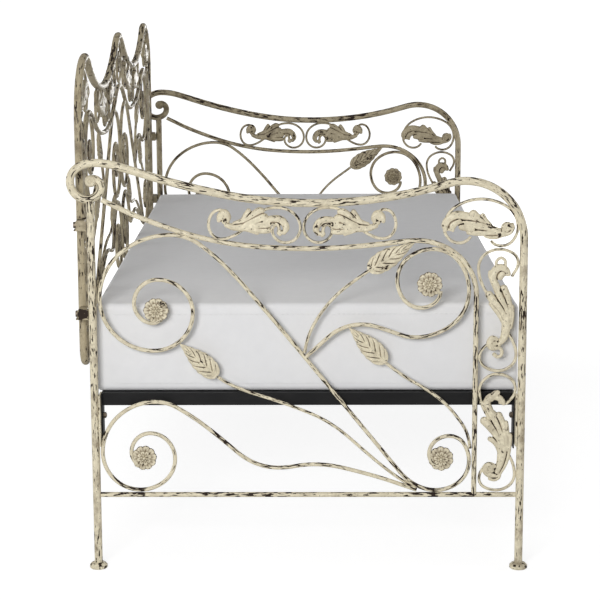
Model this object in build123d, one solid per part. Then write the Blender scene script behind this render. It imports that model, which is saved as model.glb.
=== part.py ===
from build123d import *
import math
import os

os.makedirs("parts", exist_ok=True)

# Daybed: two identical wrought-iron end panels, a three-hump back panel bolted
# behind them, a steel angle base between them, and a mattress resting on it.
# Millimetres. X is the length, Y the depth (back panel at +Y), Z is up.

# ---- overall ----
SPAN = 1990.0           # between the planes of the two end panels
DEPTH = 1000.0          # between the front and rear posts, centre to centre
BACK_Y = 529.0          # plane of the back panel
BACK_HALF = 947.0       # centre of each side tube of the back panel
CENTRE_Y = 16.75        # middle of the whole depth, which becomes Y = 0

# ---- stock ----
TUBE_D = 19.0           # posts, top rails, back outline
TUBE_WALL = 1.5
RAIL_D = 12.0           # inner and bottom rails
STEM_D = 9.5            # scroll and leaf stems
WIRE_D = 7.0            # small C and S scrolls
FOOT_D = 42.0
FOOT_H = 15.0

# ---- castings ----
LEAF_W = 26.0           # half width
LEAF_T = 5.0
ROSETTE_D = 59.0
ROSETTE_T = 9.0
CASTING_T = 8.0

# ---- base ----
BASE_TOP = 424.0
BASE_H = 30.0
ANGLE_T = 3.0
BASE_HALF_X = 975.0
BASE_HALF_Y = 483.5
LEG_W = 40.0
LEG_BOTTOM = 290.0
PLATE_T = 4.0
PLATE_W = 44.0
PLATE_Z = (300.0, 423.0)
BOLT_D = 8.0
HOLE_D = 8.4
BOLT_Z = (318.0, 368.0)
BOLT_X = 966.0
SLAT_COUNT = 11
SLAT_W = 40.0

# ---- mattress ----
MATTRESS_X = 1936.0
MATTRESS_Y = 1000.0
MATTRESS_H = 210.0
MATTRESS_BACK = 3.0     # it stands this far towards the back panel
MATTRESS_CORNER = 22.0
MATTRESS_RIM = 10.0
SOFT_GAP = 0.3

# ---- bent rods: (along, up, heading in degrees) ----
# Each rod runs smoothly from knot to knot; headings are measured from "along".
TOP_RAIL = [(-493, 935, 0), (-474, 916, -90), (-507, 888, 180), (-545, 929, 90), (-490, 972, 0),
            (-384, 948, -18), (15, 877, 0), (291, 912, 15), (364, 927, 0), (500, 791, -90)]
INNER_RAIL = [(-473, 886, -25), (-388, 846, -22), (-243, 797, -14), (5, 771, 0), (194, 784, 7),
              (254, 789, 0), (392, 660, -90), (392, 181, -90)]
MAIN_STEM = [(-340, 604, 200), (-359, 596, 180), (-403, 643, 90), (-347, 699, 0), (-266, 621, -90),
             (-359, 530, 180), (-483, 653, 90), (-316, 804, 0), (-194, 735, -45), (-136, 672, -50),
             (218, 236, -51), (303, 192, 0), (380, 262, 90), (333, 324, 180), (286, 280, -90), (309, 252, 0)]
BRANCH = [(-5, 513, 42), (49, 562, 42), (126, 592, 0), (189, 577, -20), (251, 561, 0),
          (375, 670, 90), (290, 769, 180), (209, 697, -90), (264, 631, 0), (309, 670, 90)]
LOWER_STEM = [(-403, 254, 125), (-416, 284, 90), (-371, 331, 0), (-313, 269, -90), (-396, 193, 180),
              (-484, 284, 90), (-357, 407, 0), (-267, 368, -35), (-184, 301, -41), (-146, 270, -33),
              (-70, 247, 0), (15, 255, 0), (146, 230, -16), (257, 193, -19)]
LEAF_STEMS = [[(-6, 525, 83), (58, 651, 47), (144, 720, 36)],
              [(-210, 467, -36), (-107, 421, -17), (0, 382, -22), (97, 321, -42), (194, 237, -38), (254, 197, -30)],
              [(183, 500, -38), (254, 451, -29), (316, 408, -42), (364, 351, -57), (382, 294, -84)]]
LEAVES = [((-296, 546), (-210, 466)), ((254, 785), (143, 721)), ((97, 583), (184, 500))]
ROSETTES = [(-352, 626), (314, 269), (-386, 271), (284, 686)]
BOTTOM_RAIL_Z = 181.0

# Small scrolls, each with its leaf casting: curl, curl radius, leaf ends, curl, curl radius.
S_SCROLL = [(-184, 841, 90), (-200, 862, 180), (-227, 828, -90), (-197, 794, 0), (-163, 805, 30),
            (-97, 862, 25), (-68, 867, 0), (-15, 820, -90), (-49, 785, 180), (-80, 814, 90), (-68, 830, 45)]
S_LEAF = ((-191, 847), 13, (-178, 828), (-62, 850), 22, (-56, 823), 16)
S_AXIS = -11.0
CORNER = [(377, 798, -120), (351, 783, 180), (316, 819, 90), (400, 885, 0), (485, 820, -90),
          (448, 776, 180), (424, 788, 120)]
CORNER_LEAF = ((332, 817), 16, (340, 838), (458, 806), 22, (466, 820), 13)
V_UPPER = [(473, 704, 60), (487, 736, 90), (444, 768, 180), (396, 726, -90), (413, 670, -60),
           (473, 561, -62), (486, 519, -90), (444, 481, 180), (401, 515, 90), (419, 544, 40)]
V_UPPER_LEAF = ((463, 712), 17, (436, 716), (466, 560), 27, (428, 547), 15)
V_LOWER = [(464, 401, 40), (486, 437, 90), (444, 473, 180), (402, 432, -90), (418, 379, -60),
           (476, 272, -60), (487, 230, -90), (444, 192, 180), (404, 221, 90), (418, 250, 40)]
V_LOWER_LEAF = ((462, 407), 15, (430, 408), (466, 262), 27, (440, 240), 16)

# Back panel, right half; the left half is its mirror image.
BACK_OUTLINE = [(0, 1211, 0), (85, 1186, -29), (250, 1124, -15), (408, 1103, 0), (680, 1155, 23), (790, 1201, 0),
                (BACK_HALF, 1055, -90), (BACK_HALF, 535, -90), (907, 487, 180), (868, 560, 90), (893, 590, 0)]
BACK_INNER = [(0, 1072, 0), (120, 1040, -28), (350, 981, 0), (600, 1020, 22), (745, 1065, 0),
              (835, 960, -90), (835, 566, -90)]
BACK_BOTTOM_Z = 560.0
BACK_MAIN = [(131, 841, 200), (115, 833, 180), (77, 874, 90), (126, 923, 0), (196, 855, -90), (115, 775, 180),
             (5.5, 882, 90), (153, 1015, 0), (250, 962, -41.3), (657, 604, -41.3), (745, 571, 0),
             (824, 641, 90), (776, 703, 180), (729, 659, -90), (752, 631, 0)]
BACK_BRANCH = [(430, 804, 44), (487, 850, 40), (575, 875, 0), (638, 860, -20), (700, 844, 0),
               (824, 953, 90), (739, 1052, 180), (658, 980, -90), (713, 914, 0), (758, 953, 90)]
BACK_LOWER = [(77, 625, 125), (65, 650, 90), (105, 692, 0), (155, 638, -90), (82, 571, 180), (5.5, 650, 90),
              (116, 758, 0), (190, 718, -40), (262, 648, 0), (325, 658, 12), (390, 666, 0), (520, 632, -22),
              (690, 577, -12)]
BACK_LEAF_STEMS = [[(428, 812, 83), (445, 870, 60), (480, 915, 45)],
                   [(262, 712, -22), (400, 694, -8), (520, 655, -25), (640, 600, -26), (712, 577, -10)],
                   [(632, 783, -33), (720, 738, -22), (785, 710, -35), (822, 650, -85)]]
BACK_LEAVES = [((563, 1000), (480, 915)), ((176, 795), (262, 712)), ((546, 866), (633, 783))]
BACK_ROSETTES = [(121, 862), (757, 648), (95, 636), (733, 969)]
BACK_S_SCALE = 1.18
BACK_S_AT = (340.0, 990.0)      # where the two S scrolls of a half meet
BACK_CORNER_SHIFT = (447.0, 290.0)
BACK_RING = (895.0, 713.0, 44.5)
CENTRE_RING = (0.0, 1139.0, 57.0)
CENTRE_ROSETTE = (0.0, 1139.0)

# ---- brackets that carry the back panel ----
BRACKET_Z = (828.0, 619.0)
BRACKET_H = 22.0
BRACKET_X = (955.5, 1004.0)


# ---- path helpers ----
def unit(deg):
    return math.cos(math.radians(deg)), math.sin(math.radians(deg))


def arc_edge(p, tangent, q, place):
    """Straight run or arc from p, leaving along tangent, to q."""
    dx, dy = q[0] - p[0], q[1] - p[1]
    phi = math.atan2(tangent[0] * dy - tangent[1] * dx, tangent[0] * dx + tangent[1] * dy)
    if abs(phi) < 1e-3:
        return Line(place(*p), place(*q))
    reach = math.hypot(dx, dy) / (2 * math.cos(phi / 2))
    lead = math.atan2(tangent[1], tangent[0]) + phi / 2
    middle = (p[0] + reach * math.cos(lead), p[1] + reach * math.sin(lead))
    return ThreePointArc(place(*p), place(*middle), place(*q))


def two_arcs(a, b, place):
    """Two tangent arcs between two knots."""
    p, q, t0, t1 = a[:2], b[:2], unit(a[2]), unit(b[2])
    vx, vy = q[0] - p[0], q[1] - p[1]
    if abs(t0[0] * vy - t0[1] * vx) < 1e-3 * math.hypot(vx, vy) and abs(a[2] - b[2]) < 0.5:
        return [Line(place(*p), place(*q))]
    along = vx * (t0[0] + t1[0]) + vy * (t0[1] + t1[1])
    spread = 2 * (1 - t0[0] * t1[0] - t0[1] * t1[1])
    square = vx * vx + vy * vy
    if spread < 1e-6:
        reach = square / (4 * (vx * t1[0] + vy * t1[1]))
    else:
        reach = (math.sqrt(along * along + spread * square) - along) / spread
    middle = ((p[0] + q[0] + reach * (t0[0] - t1[0])) / 2, (p[1] + q[1] + reach * (t0[1] - t1[1])) / 2)
    first = arc_edge(p, t0, middle, place)
    turn = math.atan2(middle[1] - p[1], middle[0] - p[0])
    t_mid = unit(math.degrees(2 * turn) - a[2])
    return [first, arc_edge(middle, t_mid, q, place)]


def path(knots, place):
    edges = []
    for a, b in zip(knots, knots[1:]):
        edges += two_arcs(a, b, place)
    return Wire([e.edge() if hasattr(e, "edge") else e for e in edges])


def rod(knots, diameter, place, bore=0.0):
    line = path(knots, place)
    start = Plane(origin=line @ 0, z_dir=line % 0)
    solid = sweep(start * Circle(diameter / 2), path=line)
    if bore:
        solid -= sweep(start * Circle(bore / 2), path=line)
    return solid


def mirrored(knots):
    return [(-u, v, 180 - h) for u, v, h in knots]


def both_halves(knots):
    """A whole path from its right half, which starts on the centre line."""
    left = [(-u, v, -h) for u, v, h in reversed(knots[1:])]
    return left + knots


def shifted(knots, du, dv, scale=1.0, turn=0.0, about=(0.0, 0.0), flip=False):
    """Knots scaled and turned about a point, mirrored if flip, then moved."""
    out = []
    c, s = unit(turn)
    for u, v, *rest in knots:
        x, y = (u - about[0]) * scale, (v - about[1]) * scale
        x, y = x * c - y * s, x * s + y * c
        heading = [h + turn for h in rest]
        if flip:
            x, heading = -x, [180 - h for h in heading]
        out.append((x + du, y + dv, *heading))
    return out


# ---- castings ----
def blade(tip, root, half, thick, plane):
    """Pointed leaf from tip to root, centred on the panel plane."""
    mid = ((tip[0] + root[0]) / 2, (tip[1] + root[1]) / 2)
    dx, dy = root[0] - tip[0], root[1] - tip[1]
    size = math.hypot(dx, dy)
    side = (-dy / size * half, dx / size * half)
    left = (mid[0] + side[0], mid[1] + side[1])
    right = (mid[0] - side[0], mid[1] - side[1])
    outline = Wire([ThreePointArc(tip, left, root).edge(), ThreePointArc(root, right, tip).edge()])
    return extrude(plane * Face(outline), thick / 2, both=True)


def disc(centre, radius, thick, plane):
    return extrude(plane * Pos(centre[0], centre[1]) * Circle(radius), thick / 2, both=True)


def casting(spec, plane, scale=1.0):
    curl, r1, a, b, half, hook, r2 = spec
    solid = blade(a, b, half * scale, CASTING_T, plane)
    solid += disc(curl, r1 * scale, CASTING_T, plane)
    solid += disc(hook, r2 * scale, CASTING_T, plane)
    solid += bridge(curl, a, r1 * scale * 0.7, plane)
    return solid + bridge(hook, b, r2 * scale * 0.7, plane)


def bridge(p, q, half, plane):
    """Bar that carries a curl to the leaf."""
    angle = math.degrees(math.atan2(q[1] - p[1], q[0] - p[0]))
    length = math.hypot(q[0] - p[0], q[1] - p[1]) + half
    bar = Pos((p[0] + q[0]) / 2, (p[1] + q[1]) / 2) * Rot(0, 0, angle) * Rectangle(length, half)
    return extrude(plane * bar, CASTING_T / 2 - 0.5, both=True)


def moved_leaf(spec, **how):
    curl, r1, a, b, half, hook, r2 = spec
    curl, a, b, hook = shifted([curl, a, b, hook], **how)
    return curl, r1, a, b, half, hook, r2


def flipped_leaf(spec, axis=0.0):
    return moved_leaf(spec, du=axis, dv=0.0, about=(axis, 0.0), flip=True)


# ---- output ----
def save(name, solids):
    solids = solids if isinstance(solids, list) else [solids]
    solids = [Pos(0, -CENTRE_Y, 0) * s for s in solids]
    shape = solids[0] if len(solids) == 1 else Compound(children=solids)
    shape.label = name
    export_step(shape, f"parts/{name}.step")


def turned(radius_height, x, y):
    """Solid of revolution about a vertical axis from (radius, height) points."""
    face = Face(Wire.make_polygon([(r, 0, z) for r, z in radius_height]))
    return Pos(x, y, 0) * revolve(face, Axis.Z)


# ---- end panels ----
def end_panel(side, x):
    def place(u, v):
        return Vector(x, -u, v)
    plane = Plane(origin=(x, 0, 0), x_dir=(0, -1, 0), z_dir=(-1, 0, 0))
    bore = TUBE_D - 2 * TUBE_WALL
    half = DEPTH / 2
    save(f"{side}_top_rail", rod(TOP_RAIL, TUBE_D, place, bore))
    save(f"{side}_front_post", post(x, -half, FOOT_H, 791.0, bore))
    save(f"{side}_rear_post", rear_post(x, half, bore))
    save(f"{side}_inner_rail", rod(INNER_RAIL, RAIL_D, place))
    save(f"{side}_bottom_rail", rod([(-half + TUBE_D / 2 - 0.3, BOTTOM_RAIL_Z, 0),
                                     (half - TUBE_D / 2 + 0.3, BOTTOM_RAIL_Z, 0)], RAIL_D, place))
    save(f"{side}_main_stem", rod(MAIN_STEM, STEM_D, place))
    save(f"{side}_branch_scroll", rod(BRANCH, STEM_D, place))
    save(f"{side}_lower_stem", rod(LOWER_STEM, STEM_D, place))
    save(f"{side}_leaf_stems", [rod(k, STEM_D - 2, place) for k in LEAF_STEMS])
    second = shifted(S_SCROLL, du=S_AXIS, dv=0, about=(S_AXIS, 0), flip=True)
    wires = [S_SCROLL, second, CORNER, V_UPPER, V_LOWER]
    save(f"{side}_scroll_wires", [rod(k, WIRE_D, place) for k in wires])
    leaves = [S_LEAF, flipped_leaf(S_LEAF, S_AXIS), CORNER_LEAF, V_UPPER_LEAF, V_LOWER_LEAF]
    save(f"{side}_scroll_castings", [casting(k, plane) for k in leaves])
    save(f"{side}_leaves", [blade(a, b, LEAF_W, LEAF_T, plane) for a, b in LEAVES])
    save(f"{side}_rosettes", [disc(c, ROSETTE_D / 2, ROSETTE_T, plane) for c in ROSETTES])
    save(f"{side}_feet", [foot(x, y) for y in (-half, half)])
    save(f"{side}_mount_plates", [mount_plate(x, y) for y in (-half, half)])


def post(x, y, low, high, bore):
    solid = Pos(x, y, (low + high) / 2) * Cylinder(TUBE_D / 2, high - low)
    return solid - Pos(x, y, (low + high) / 2) * Cylinder(bore / 2, high - low)


def rear_post(x, y, bore):
    """The rear post reaches up into the underside of the scroll."""
    solid = post(x, y, FOOT_H, 884.0, bore)
    for z in BRACKET_Z:
        solid -= Pos(x, y + TUBE_D / 2, z) * Rot(90, 0, 0) * Cylinder(HOLE_D / 2, TUBE_D)
    return solid


def foot(x, y):
    r = FOOT_D / 2
    stub = TUBE_D / 2 - TUBE_WALL - 0.2
    profile = [(0, 0), (r - 2, 0), (r, 2), (r, 8), (r - 4, 12.5), (TUBE_D / 2 + 1.5, FOOT_H), (stub, FOOT_H),
               (stub, FOOT_H + 32), (0, FOOT_H + 32)]
    return turned(profile, x, y)


def mount_plate(x, y):
    """Flat plate welded to the inner side of a post, drilled for the base."""
    inward = -math.copysign(1, y)
    toward = -math.copysign(1, x)
    y_mid = y + inward * (TUBE_D / 2 + PLATE_T / 2 - 0.5)
    x_mid = x + toward * (PLATE_W / 2 - 8)
    z_mid = sum(PLATE_Z) / 2
    plate = Pos(x_mid, y_mid, z_mid) * Box(PLATE_W, PLATE_T, PLATE_Z[1] - PLATE_Z[0])
    for z in BOLT_Z:
        plate -= Pos(math.copysign(BOLT_X, x), y_mid, z) * Rot(90, 0, 0) * Cylinder(HOLE_D / 2, 4 * PLATE_T)
    return plate


# ---- back panel ----
def back_panel():
    def place(u, v):
        return Vector(u, BACK_Y, v)
    plane = Plane(origin=(0, BACK_Y, 0), x_dir=(1, 0, 0), z_dir=(0, -1, 0))
    bore = TUBE_D - 2 * TUBE_WALL
    save("back_outline", rod(both_halves(BACK_OUTLINE), TUBE_D, place, bore))
    save("back_inner_rail", rod(both_halves(BACK_INNER), RAIL_D, place))
    reach = BACK_HALF - TUBE_D / 2 + 0.3
    save("back_bottom_rail", rod([(-reach, BACK_BOTTOM_Z, 0), (reach, BACK_BOTTOM_Z, 0)], RAIL_D, place))
    for name, knots in (("main_stems", BACK_MAIN), ("branches", BACK_BRANCH), ("lower_stems", BACK_LOWER)):
        save(f"back_{name}", [rod(k, STEM_D, place) for k in (knots, mirrored(knots))])
    stems = BACK_LEAF_STEMS + [mirrored(k) for k in BACK_LEAF_STEMS]
    save("back_leaf_stems", [rod(k, STEM_D - 2, place) for k in stems])
    save("back_scroll_wires", back_wires(place))
    save("back_scroll_castings", [casting(k, plane, s) for k, s in back_castings()])
    leaves = BACK_LEAVES + [((-a[0], a[1]), (-b[0], b[1])) for a, b in BACK_LEAVES]
    save("back_leaves", [blade(a, b, LEAF_W, LEAF_T, plane) for a, b in leaves])
    spots = BACK_ROSETTES + [(-u, v) for u, v in BACK_ROSETTES] + [CENTRE_ROSETTE]
    save("back_rosettes", [disc(c, ROSETTE_D / 2, ROSETTE_T, plane) for c in spots])


def back_s_moves():
    """How the S scroll of an end panel is set twice in each half of the back."""
    base = dict(du=BACK_S_AT[0], dv=BACK_S_AT[1], scale=BACK_S_SCALE, about=(S_AXIS, 785 - WIRE_D / 2))
    return dict(base, turn=-13.0), dict(base, turn=-5.0, flip=True)


def back_wires(place):
    du, dv = BACK_CORNER_SHIFT
    half = [shifted(S_SCROLL, **how) for how in back_s_moves()]
    half += [shifted(CORNER, du, dv), shifted(V_UPPER, du, dv - 2)]
    wires = [rod(k, WIRE_D, place) for k in half + [mirrored(k) for k in half]]
    for u, v, r in (BACK_RING, (-BACK_RING[0], *BACK_RING[1:]), CENTRE_RING):
        wires.append(Pos(u, BACK_Y, v) * Rot(90, 0, 0) * Torus(r, WIRE_D / 2))
    return wires


def back_castings():
    du, dv = BACK_CORNER_SHIFT
    half = [(moved_leaf(S_LEAF, **how), BACK_S_SCALE) for how in back_s_moves()]
    half.append((moved_leaf(CORNER_LEAF, du=du, dv=dv), 1.0))
    half.append((moved_leaf(V_UPPER_LEAF, du=du, dv=dv - 2), 1.0))
    return half + [(flipped_leaf(k), s) for k, s in half]


def brackets():
    """Blocks on the rear posts that carry the side tubes of the back panel."""
    blocks = []
    bolts = []
    near = DEPTH / 2 + TUBE_D / 2
    deep = BACK_Y + TUBE_D / 2 - 4 - near
    for sx in (-1, 1):
        x_mid = sx * sum(BRACKET_X) / 2
        for z in BRACKET_Z:
            block = Pos(x_mid, near + deep / 2, z) * Box(BRACKET_X[1] - BRACKET_X[0], deep, BRACKET_H)
            block = chamfer(block.edges().filter_by(Axis.X), 3)
            block += Pos(x_mid, near + deep / 2 + 2, z - BRACKET_H / 2 - 1) * Box(BRACKET_X[1] - BRACKET_X[0], deep + 4, 3)
            axis = Pos(sx * SPAN / 2, near + deep / 2, z) * Rot(90, 0, 0)
            blocks.append(block - axis * Cylinder(HOLE_D / 2, deep + 20))
            bolts.append(bracket_bolt(sx * SPAN / 2, near, deep, z))
    save("back_brackets", blocks)
    save("back_bolts", bolts)


def bracket_bolt(x, near, deep, z):
    shank = Pos(x, near + deep / 2 - 6, z) * Rot(90, 0, 0) * Cylinder(BOLT_D / 2, deep + 12)
    head = Pos(x, near + deep + 2.5, z) * Rot(90, 0, 0) * Cylinder(7.5, 5)
    return shank + head


# ---- base ----
def angle_rail(length, outer):
    """Angle along X: upright flange outside at +Y, flat flange on top."""
    upright = Pos(0, outer - ANGLE_T / 2, BASE_TOP - BASE_H / 2) * Box(length, ANGLE_T, BASE_H)
    flat = Pos(0, outer - ANGLE_T - 13.5, BASE_TOP - ANGLE_T / 2) * Box(length, 27, ANGLE_T)
    return upright + flat


def base():
    inner_x = BASE_HALF_X - ANGLE_T
    rear = angle_rail(2 * inner_x, BASE_HALF_Y)
    save("base_rail_rear", rear)
    save("base_rail_front", mirror(rear, about=Plane.XZ))
    upright = Pos(BASE_HALF_X - ANGLE_T / 2, 0, BASE_TOP - BASE_H / 2) * Box(ANGLE_T, 2 * BASE_HALF_Y, BASE_H)
    clear_y = BASE_HALF_Y - ANGLE_T - 27
    flat = Pos(inner_x - 13.5, 0, BASE_TOP - ANGLE_T / 2) * Box(27, 2 * clear_y, ANGLE_T)
    right = upright + flat
    save("base_rail_right", right)
    save("base_rail_left", mirror(right, about=Plane.YZ))
    pitch = 2 * (inner_x - 27) / (SLAT_COUNT + 1)
    slats = []
    for i in range(SLAT_COUNT):
        x = (i + 1 - (SLAT_COUNT + 1) / 2) * pitch
        slats.append(Pos(x, 0, BASE_TOP - ANGLE_T / 2) * Box(SLAT_W, 2 * clear_y, ANGLE_T))
    save("base_slats", slats)
    corners = [(sx, sy) for sx in (-1, 1) for sy in (-1, 1)]
    save("base_legs", [leg(sx, sy) for sx, sy in corners])
    bolts = []
    nuts = []
    for sx, sy in corners:
        for z in BOLT_Z:
            bolts.append(base_bolt(sx * BOLT_X, sy, z))
            nuts.append(base_nut(sx * BOLT_X, sy, z))
    save("base_bolts", bolts)
    save("base_nuts", nuts)


def leg(sx, sy):
    """Flat steel drop leg, bolted to the mounting plate of a post."""
    y = sy * (BASE_HALF_Y + ANGLE_T / 2)
    x = sx * (BASE_HALF_X + 7 - LEG_W / 2)
    body = Pos(x, y, (LEG_BOTTOM + BASE_TOP) / 2) * Box(LEG_W, ANGLE_T, BASE_TOP - LEG_BOTTOM)
    for z in BOLT_Z:
        body -= Pos(sx * BOLT_X, y, z) * Rot(90, 0, 0) * Cylinder(HOLE_D / 2, 4 * ANGLE_T)
    return body


def base_bolt(x, sy, z):
    inner = BASE_HALF_Y
    outer = DEPTH / 2 - TUBE_D / 2 + 0.5
    shank = Pos(x, sy * (inner + outer) / 2, z) * Rot(90, 0, 0) * Cylinder(BOLT_D / 2, outer - inner + 16)
    head = Pos(x, sy * (outer + 2.65), z) * Rot(90, 0, 0) * Cylinder(6.5, 5.3)
    return shank + head


def base_nut(x, sy, z):
    blank = extrude(RegularPolygon(7.5, 6), 3.25, both=True)
    blank -= Cylinder(BOLT_D / 2 + 0.1, 20)
    return Pos(x, sy * (BASE_HALF_Y - 3.25), z) * Rot(90, 0, 0) * blank


# ---- mattress ----
def mattress():
    low = BASE_TOP + SOFT_GAP
    body = Pos(0, MATTRESS_BACK, low + MATTRESS_H / 2) * Box(MATTRESS_X, MATTRESS_Y, MATTRESS_H)
    body = fillet(body.edges().filter_by(Axis.Z), MATTRESS_CORNER)
    rims = body.edges().filter_by(lambda e: abs(e.center().Z - low - MATTRESS_H / 2) > MATTRESS_H / 2 - 1)
    save("mattress", fillet(rims, MATTRESS_RIM))


end_panel("left", -SPAN / 2)
end_panel("right", SPAN / 2)
back_panel()
brackets()
base()
mattress()
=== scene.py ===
import math

import bmesh
import bpy
import numpy as np
from bpy.props import FloatProperty, FloatVectorProperty, IntProperty, PointerProperty
from mathutils import Matrix, Vector


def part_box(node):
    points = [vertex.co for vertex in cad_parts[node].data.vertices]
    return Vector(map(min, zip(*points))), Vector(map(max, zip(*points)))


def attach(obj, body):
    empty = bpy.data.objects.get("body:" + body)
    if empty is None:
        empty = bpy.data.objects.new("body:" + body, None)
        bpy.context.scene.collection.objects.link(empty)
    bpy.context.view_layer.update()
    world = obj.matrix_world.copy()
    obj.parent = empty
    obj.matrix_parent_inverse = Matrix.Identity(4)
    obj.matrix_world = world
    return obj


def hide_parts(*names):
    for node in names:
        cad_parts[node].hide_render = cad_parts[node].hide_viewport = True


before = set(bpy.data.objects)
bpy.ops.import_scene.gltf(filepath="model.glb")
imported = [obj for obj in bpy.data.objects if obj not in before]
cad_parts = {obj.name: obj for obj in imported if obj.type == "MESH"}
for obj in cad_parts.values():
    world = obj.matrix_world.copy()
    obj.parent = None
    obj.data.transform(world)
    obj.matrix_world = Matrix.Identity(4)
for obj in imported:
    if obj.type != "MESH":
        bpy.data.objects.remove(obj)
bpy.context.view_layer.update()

bl_info = {
    "name": "Wrought Iron Daybed",
    "version": (1, 0, 0),
    "blender": (4, 5, 0),
    "location": "View3D > Sidebar > Daybed",
    "description": "Finishes, relief castings, mattress and stage for a scrolled iron daybed",
    "category": "Object",
}

MM = 0.001
SIDES = ("left", "right")

# ---- planes of the panels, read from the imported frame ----
# u runs along a panel and v up it, both in millimetres; h is out of the panel.


def middle(node, axis):
    low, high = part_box(node)
    return (low[axis] + high[axis]) / 2


POST_Y = (middle("left_front_post", 1) + middle("left_rear_post", 1)) / 2
BACK_Y = middle("back_outline", 1)


def end_matrix(side):
    """Panel millimetres (u, v, h) to the frame for an end panel."""
    return Matrix(((0, 0, MM, middle(f"{side}_top_rail", 0)), (-MM, 0, 0, POST_Y), (0, MM, 0, 0), (0, 0, 0, 1)))


def back_matrix(flip=False):
    """Panel millimetres (u, v, h) to the frame for the back panel."""
    return Matrix(((-MM if flip else MM, 0, 0, 0), (0, 0, MM, BACK_Y), (0, MM, 0, 0), (0, 0, 0, 1)))


# ---- castings: lobes of (u, v, half width) from root to tip ----
S_CASTING = [
    [(-183, 836, 5), (-182, 845, 8), (-190, 854, 10), (-200, 848, 8), (-203, 837, 5)],
    [(-192, 834, 5), (-190, 834, 5)],
    [(-196, 845, 8), (-190, 848, 8)],
    [(-186, 827, 6), (-170, 822, 8), (-150, 822, 10), (-128, 824, 13)],
    [(-168, 831, 4), (-150, 838, 5), (-141, 850, 6), (-134, 860, 6)],
    [(-163, 829, 4), (-143, 837, 6), (-125, 850, 8), (-110, 859, 9), (-103, 860, 7)],
    [(-150, 825, 6), (-125, 834, 11), (-105, 843, 12), (-97, 845, 9)],
    [(-150, 823, 6), (-120, 825, 11), (-98, 828, 12), (-88, 829, 9)],
    [(-148, 820, 5), (-120, 816, 8), (-99, 814, 8), (-88, 814, 7)],
    [(-150, 819, 4), (-128, 812, 4.5), (-114, 807, 4)],
    [(-98, 836, 9), (-80, 840, 9), (-64, 840, 9), (-53, 832, 9), (-48, 819, 8), (-53, 808, 5)],
    [(-82, 832, 5), (-69, 829, 4.5), (-64, 817, 4), (-66, 808, 4), (-62, 805, 5)],
    [(-60, 809, 5), (-57, 809, 5)],
]
CORNER_CASTING = [
    [(392, 838, 8), (364, 846, 10), (342, 847, 11), (326, 838, 10), (318, 825, 9), (320, 814, 5)],
    [(385, 830, 6), (360, 832, 5), (343, 828, 6), (336, 818, 5), (336, 812, 4)],
    [(380, 816, 9), (362, 820, 9), (356, 820, 8)],
    [(410, 828, 6), (394, 840, 9), (382, 850, 11)],
    [(422, 824, 5), (411, 836, 5.5), (404, 847, 6)],
    [(442, 812, 6), (415, 818, 10), (390, 826, 13), (368, 828, 10)],
    [(450, 807, 5), (420, 808, 8), (392, 807, 8), (372, 808, 6)],
    [(462, 806, 4), (440, 797, 4.5), (422, 796, 4.5), (409, 799, 3)],
    [(436, 806, 6), (450, 806, 6), (463, 808, 4)],
    [(452, 812, 6), (455, 822, 8), (463, 824, 8), (469, 818, 6)],
    [(440, 800, 4), (457, 802, 4.5), (469, 808, 4.5), (474, 818, 4.5), (472, 827, 4)],
    [(464, 806, 4), (466, 806, 4)],
    [(459, 814, 7), (462, 816, 7)],
    [(350, 834, 8), (336, 827, 8), (329, 816, 6)],
]
TALL_CASTING = [
    [(440, 536, 6), (430, 538, 9), (424, 547, 8), (430, 557, 8), (440, 556, 5)],
    [(432, 547, 8), (436, 547, 8)],
    [(441, 546, 4), (444, 545, 4)],
    [(444, 538, 4), (452, 530, 4), (452, 519, 4), (443, 514, 4), (435, 520, 5)],
    [(446, 545, 6), (457, 560, 9), (462, 585, 11), (462, 608, 12)],
    [(462, 598, 8), (450, 625, 9), (432, 647, 10), (421, 662, 9)],
    [(458, 590, 5), (449, 611, 7), (436, 629, 7), (425, 641, 5)],
    [(465, 600, 7), (460, 630, 8), (447, 656, 9), (438, 680, 9)],
    [(470, 595, 6), (469, 630, 7), (464, 656, 8), (455, 677, 9)],
    [(472, 585, 5), (476, 610, 5), (475, 634, 5)],
    [(440, 676, 9), (430, 699, 9), (433, 717, 9), (446, 725, 9), (459, 720, 8), (465, 710, 6)],
    [(433, 690, 5), (423, 704, 4.5), (422, 716, 3.5)],
    [(438, 724, 3.5), (437, 739, 3.5), (447, 748, 3.5), (457, 742, 3.5), (458, 731, 3.5)],
    [(462, 712, 5), (455, 708, 4)],
    [(451, 712, 8), (446, 703, 8)],
]
LOW_CASTING = [
    [(440, 228, 6), (427, 232, 9), (419, 243, 9), (427, 252, 9), (440, 250, 6)],
    [(428, 242, 9), (432, 242, 9)],
    [(444, 226, 4), (452, 231, 4), (450, 222, 4), (440, 217, 4), (429, 220, 4.5)],
    [(446, 238, 7), (453, 258, 9), (458, 285, 12)],
    [(452, 231, 4), (463, 249, 4), (470, 270, 5), (474, 300, 5.5), (475, 325, 6)],
    [(455, 288, 8), (447, 320, 9), (430, 346, 11), (414, 361, 10)],
    [(455, 278, 7), (448, 300, 8), (437, 312, 7), (428, 317, 6)],
    [(460, 290, 8), (455, 325, 9), (442, 355, 9), (434, 378, 9)],
    [(464, 290, 7), (462, 330, 8), (456, 357, 8), (448, 374, 9)],
    [(468, 290, 6), (468, 330, 6), (465, 356, 6)],
    [(434, 370, 9), (425, 390, 9), (420, 405, 9), (429, 418, 9), (442, 418, 8), (454, 411, 7), (459, 402, 5)],
    [(429, 390, 5), (416, 399, 7), (407, 404, 5)],
    [(430, 412, 6), (438, 424, 8), (445, 429, 6)],
    [(450, 405, 4), (452, 404, 4)],
]
S_AXIS = -11.0
S_FOOT = (-11.0, 781.5)
BACK_S_AT = (340.0, 990.0)
BACK_S_SCALE = 1.18
BACK_SHIFT = (447.0, 290.0)

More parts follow.
